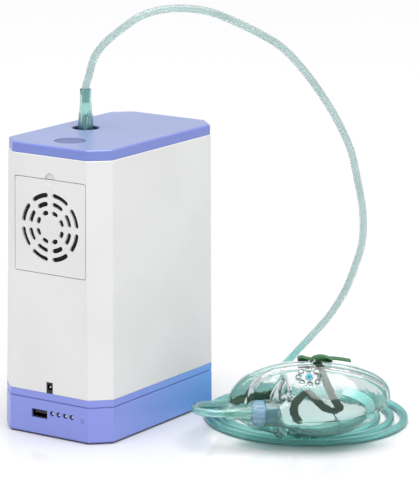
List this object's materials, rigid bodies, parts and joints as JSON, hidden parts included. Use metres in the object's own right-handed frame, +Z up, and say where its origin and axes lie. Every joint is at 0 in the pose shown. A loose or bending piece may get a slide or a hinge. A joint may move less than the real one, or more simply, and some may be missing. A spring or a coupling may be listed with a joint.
{
  "type": "oxygen concentrator",
  "caption": "Table-top oxygen concentrator with lid power button, front fan door, battery base, and a looped hose that ends in a clear face mask.",
  "frame": {"origin": "centre of the casing's footprint, on the surface that it stands on", "axes": "+Z up; the fan door and the sockets face -Y; the hose coil and the mask lie on the +X side"},
  "size_m": [0.2785, 0.2505, 0.3259],
  "materials": {
    "lid_blue": "satin moulded plastic",
    "button_blue": "fine matt moulded plastic",
    "body_white": "satin moulded plastic",
    "base_blue": "satin moulded plastic",
    "cup_dark": "dark moulded plastic",
    "filter_foam": "open-cell foam",
    "black_plastic": "glass-filled plastic",
    "steel": "plated steel",
    "copper_core": "laminations and enamelled copper",
    "aluminium": "cast and drawn aluminium",
    "zeolite": "pale ceramic beads",
    "circuit_board": "green solder mask",
    "light_lens": "clear light pipe",
    "check_blue": "clear blue plastic",
    "rubber_black": "moulded rubber",
    "battery_wrap": "shrink wrap",
    "clear_white": "milky plastic",
    "hose_pvc": "clear green soft PVC",
    "cuff_green": "clear green soft PVC",
    "swivel_blue": "clear blue hard plastic",
    "mask_pvc": "clear pale green soft PVC",
    "valve_teal": "thin teal silicone",
    "strap_green": "woven elastic band"
  },
  "bodies": {
    "root": {"lid": "lid_blue", "button_board": "circuit_board", "outlet_cup": "cup_dark", "outlet_barb": "steel", "main_shell": "body_white", "dust_filter": "filter_foam", "fan_bracket": "steel", "fan_frame": "black_plastic", "fan_screws": "steel", "dc_socket": "black_plastic", "base_collar": "base_blue", "base_tray": "base_blue", "usb_socket": "steel", "usb_tongue": "black_plastic", "level_lights": "light_lens", "front_board": "circuit_board", "rubber_feet": "rubber_black", "case_screws": "steel", "battery_cells": "battery_wrap", "battery_cradle": "black_plastic", "chassis_plate": "steel", "rubber_mounts": "rubber_black", "compressor_bed": "steel", "crankcase": "aluminium", "motor_can": "steel", "cylinder_sleeves": "aluminium", "cylinder_heads": "aluminium", "sieve_tubes": "aluminium", "sieve_caps": "black_plastic", "zeolite_beds": "zeolite", "valve_manifold": "aluminium", "solenoid_valves": "black_plastic", "oxygen_tank": "clear_white", "bacteria_filter": "clear_white", "control_board": "circuit_board", "inner_tubing": "clear_white", "hose_cuff": "cuff_green", "hose_tube": "hose_pvc", "hose_coil": "hose_pvc", "hose_tail": "hose_pvc", "mask_cuff": "cuff_green", "mask_swivel": "swivel_blue"},
    "power_button": {"power_button": "button_blue", "switch_plunger": "black_plastic", "button_spring": "steel"},
    "check_button": {"check_button": "check_blue"},
    "fan_door": {"fan_door": "body_white"},
    "fan_rotor": {"fan_rotor": "black_plastic"},
    "crank": {"crankshaft": "steel", "motor_rotor": "copper_core"},
    "rod_left": {"rod_left": "aluminium"},
    "rod_right": {"rod_right": "aluminium"},
    "mask": {"mask_shell": "mask_pvc", "cheek_valves": "valve_teal", "nose_clip": "steel", "mask_strap": "strap_green"}
  },
  "joints": [
    {"name": "power_press", "type": "slide", "parent": "root", "child": "power_button", "axis": [0, 0, -1], "range_m": [0, 0.0012], "stiffness_N_per_m": 1500, "springref_m": -0.001, "deforming": ["button_spring"]},
    {"name": "check_press", "type": "slide", "parent": "root", "child": "check_button", "axis": [0, 1, 0], "range_m": [0, 0.0005], "stiffness_N_per_m": 1500, "springref_m": -0.0005},
    {"name": "door_hinge", "type": "hinge", "parent": "root", "child": "fan_door", "pos_m": [0.001, -0.08132, 0.131], "axis": [1, 0, 0], "range_deg": [0, 75]},
    {"name": "fan_spin", "type": "hinge", "parent": "root", "child": "fan_rotor", "pos_m": [0.001, -0.065, 0.1664], "axis": [0, 1, 0], "continuous": true},
    {"name": "crank_spin", "type": "hinge", "parent": "root", "child": "crank", "pos_m": [0, -0.036, 0.067], "axis": [0, 1, 0], "continuous": true},
    {"name": "rod_right_turn", "type": "hinge", "parent": "crank", "child": "rod_right", "pos_m": [0.002, -0.039, 0.067], "axis": [0, 1, 0], "continuous": true},
    {"name": "rod_left_turn", "type": "hinge", "parent": "crank", "child": "rod_left", "pos_m": [-0.002, -0.033, 0.067], "axis": [0, 1, 0], "continuous": true},
    {"name": "mask_swivel", "type": "hinge", "parent": "root", "child": "mask", "pos_m": [0.18571, 0.00256, 0.03031], "axis": [0.7859, 0.6184, 0], "range_deg": [0, 70]}
  ],
  "couplings": [
    {"joint": "rod_right_turn", "follows": "crank_spin", "ratio": -1},
    {"joint": "rod_left_turn", "follows": "crank_spin", "ratio": -1}
  ]
}
